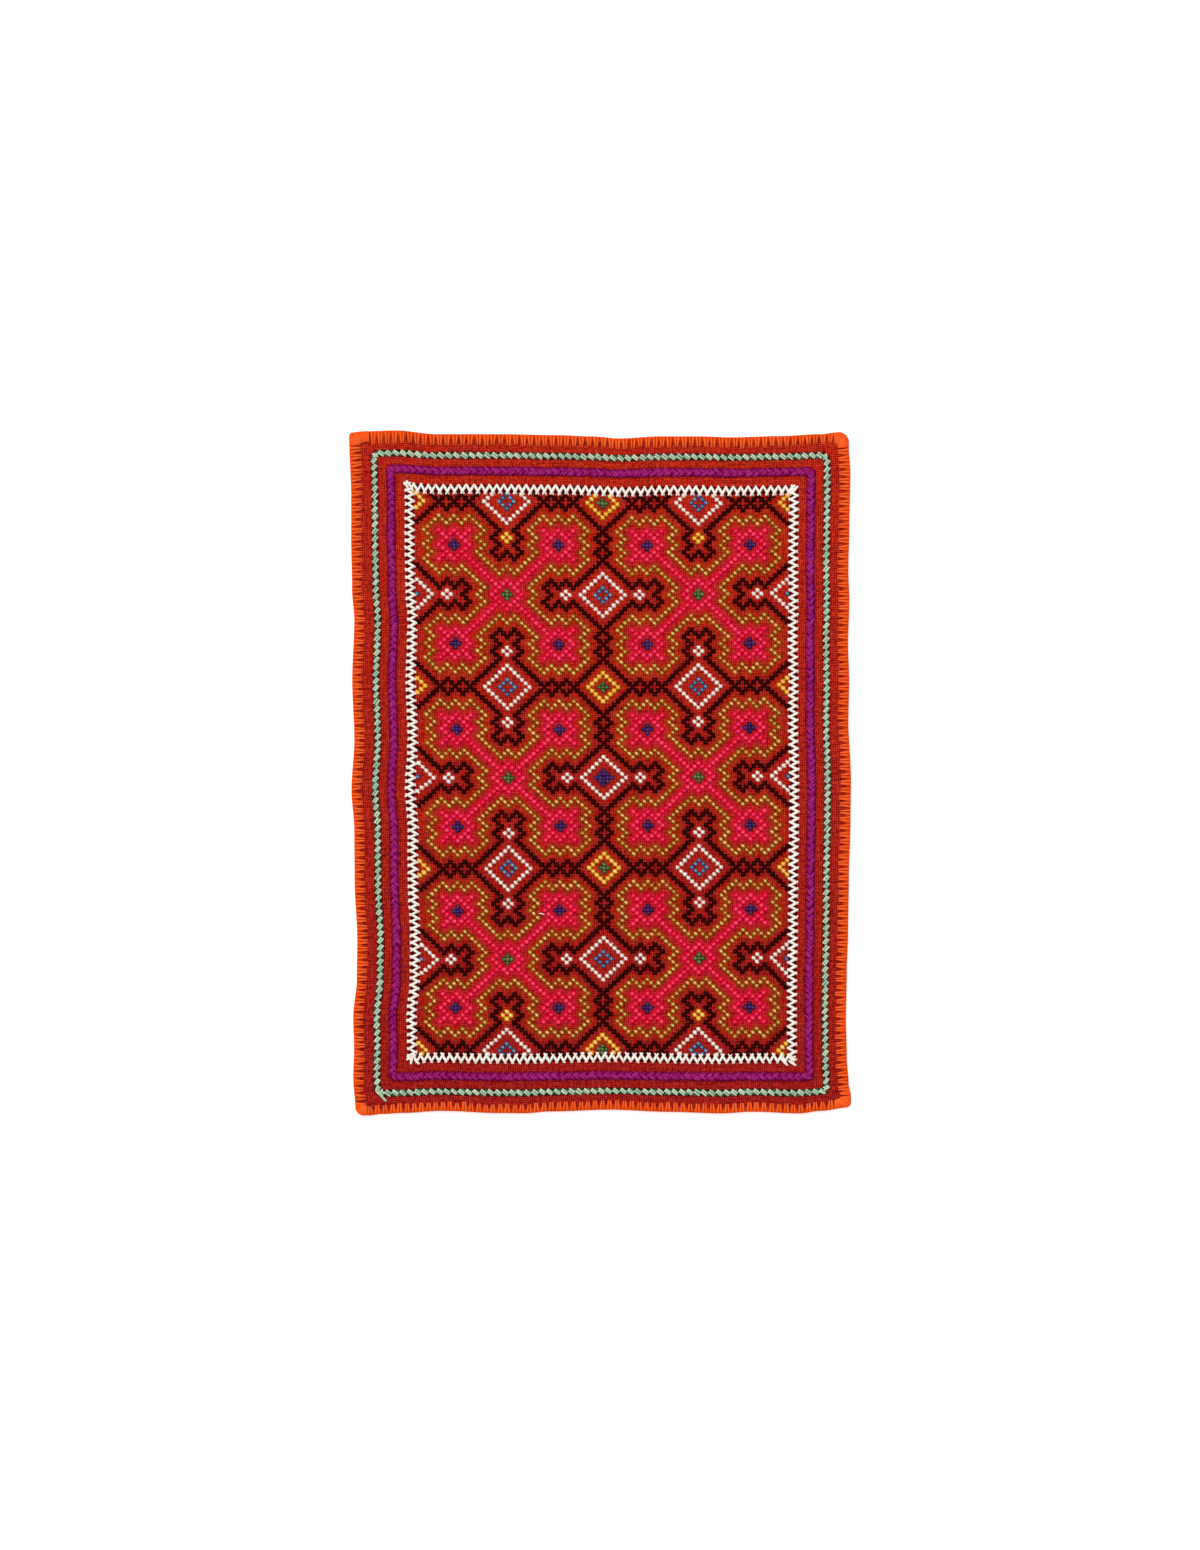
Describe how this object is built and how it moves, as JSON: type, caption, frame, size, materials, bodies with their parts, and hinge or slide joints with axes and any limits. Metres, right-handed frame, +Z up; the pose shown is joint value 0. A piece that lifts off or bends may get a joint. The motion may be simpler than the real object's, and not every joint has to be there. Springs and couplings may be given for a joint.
{
  "type": "embroidered table cloth",
  "caption": "Flat rectangular cloth of woven cotton with a geometric cross-stitch panel, raised yarn frames and an overcast edging.",
  "frame": {"origin": "middle of the cloth's length and width, on its underside", "axes": "+X to the cloth's right and +Y to its top edge, seen from above; +Z up out of its embroidered face"},
  "size_m": [0.3401, 0.4643, 0.0029],
  "materials": {
    "red_cotton": "plain-woven red cotton with a visible thread grain",
    "orange_yarn": "soft twisted orange yarn",
    "green_yarn": "soft twisted pale green yarn",
    "purple_yarn": "soft twisted purple yarn",
    "white_yarn": "soft twisted off-white yarn",
    "black_yarn": "soft twisted black yarn",
    "pink_yarn": "soft twisted deep pink yarn",
    "olive_yarn": "soft twisted olive yarn",
    "yellow_yarn": "soft twisted yellow yarn",
    "leaf_green_yarn": "soft twisted leaf green yarn",
    "indigo_yarn": "soft twisted indigo yarn",
    "steel_blue_yarn": "soft twisted steel blue yarn"
  },
  "bodies": {
    "root": {"ground_cloth": "red_cotton", "edging_bottom": "orange_yarn", "edging_right": "orange_yarn", "edging_top": "orange_yarn", "edging_left": "orange_yarn", "green_row": "green_yarn", "purple_row": "purple_yarn", "white_row": "white_yarn"}
  },
  "joints": []
}
